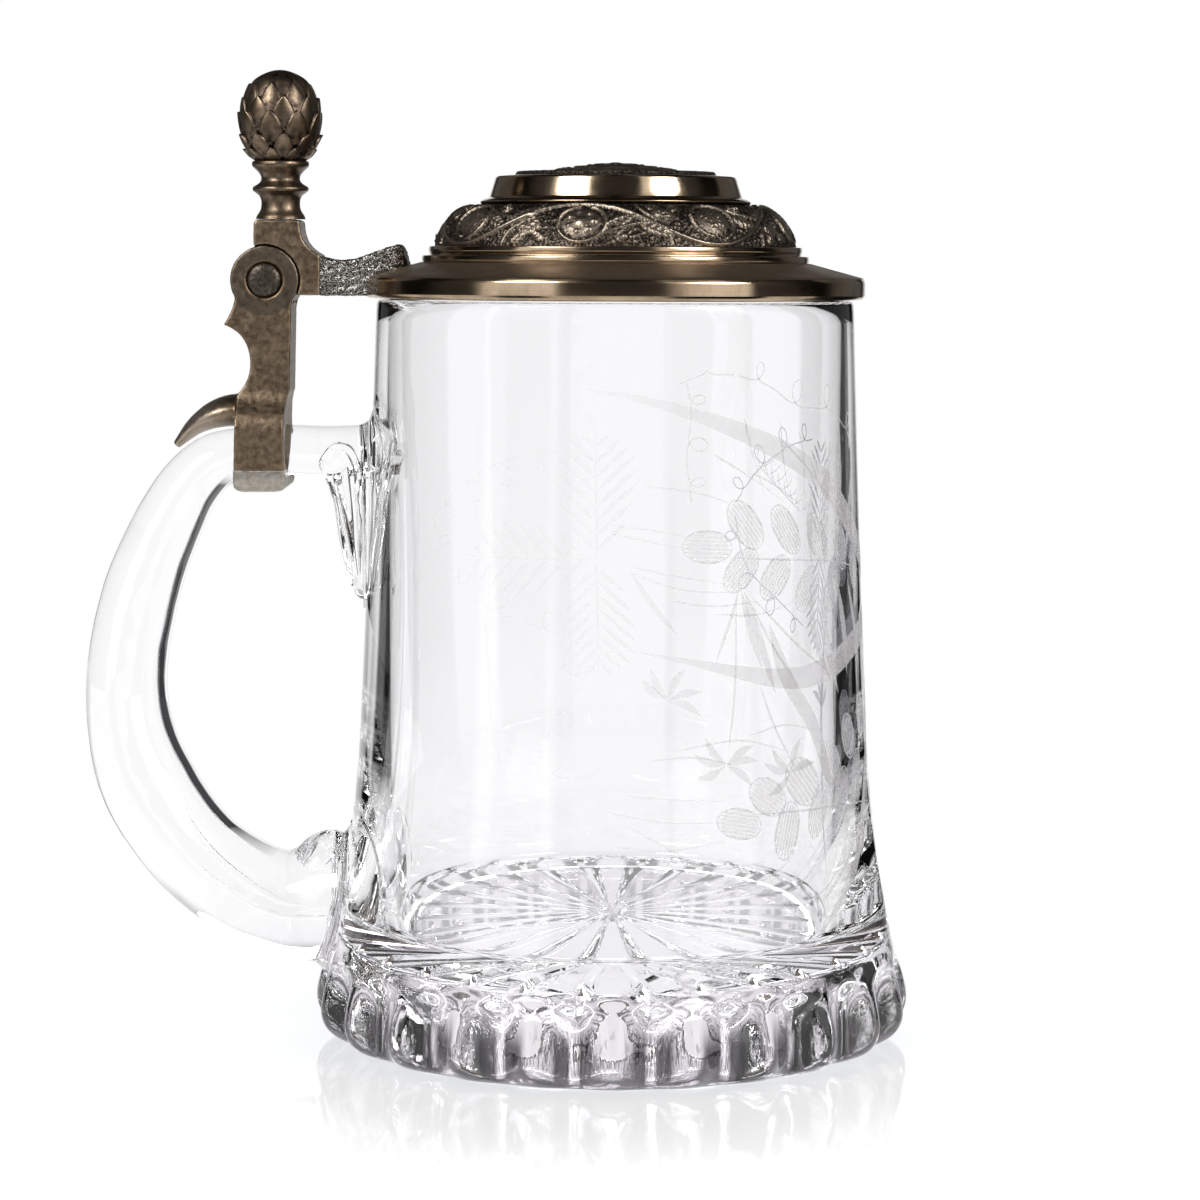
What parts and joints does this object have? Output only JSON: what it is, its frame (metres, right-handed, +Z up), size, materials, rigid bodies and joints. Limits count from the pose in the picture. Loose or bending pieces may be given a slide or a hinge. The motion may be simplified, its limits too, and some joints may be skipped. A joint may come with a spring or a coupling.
{
  "type": "lidded beer mug",
  "caption": "Clear glass tankard with an applied handle, a ribbed foot and a hinged pewter lid that a hop cone thumblift opens, for drinking beer.",
  "frame": {"origin": "on the plane that the mug stands on, under the middle of the whole object's box; the mug's own axis is 21.3 mm further along +X", "axes": "+Z up along the mug's axis, -X towards the handle, X and Z in the plane of the handle"},
  "size_m": [0.1518, 0.1092, 0.1769],
  "materials": {
    "clear_glass": "clear, fire polished",
    "pewter": "cast and turned pewter with a dark brown patina",
    "poured_pewter": "rough poured pewter, silvery",
    "steel": "dull steel rivet with a trace of rust round it"
  },
  "bodies": {
    "mug": {"glass_body": "clear_glass", "glass_handle": "clear_glass", "handle_strap": "pewter", "strap_closure": "poured_pewter", "hinge_pin": "steel"},
    "lid": {"hinge_arm": "pewter", "thumblift": "pewter", "lid_solder": "poured_pewter", "lid": "pewter", "lid_medallion": "pewter"}
  },
  "joints": [
    {"name": "lid_hinge", "type": "hinge", "parent": "mug", "child": "lid", "pos_m": [-0.04209, 0, 0.1386], "axis": [0, -1, 0], "range_deg": [0, 105]}
  ]
}
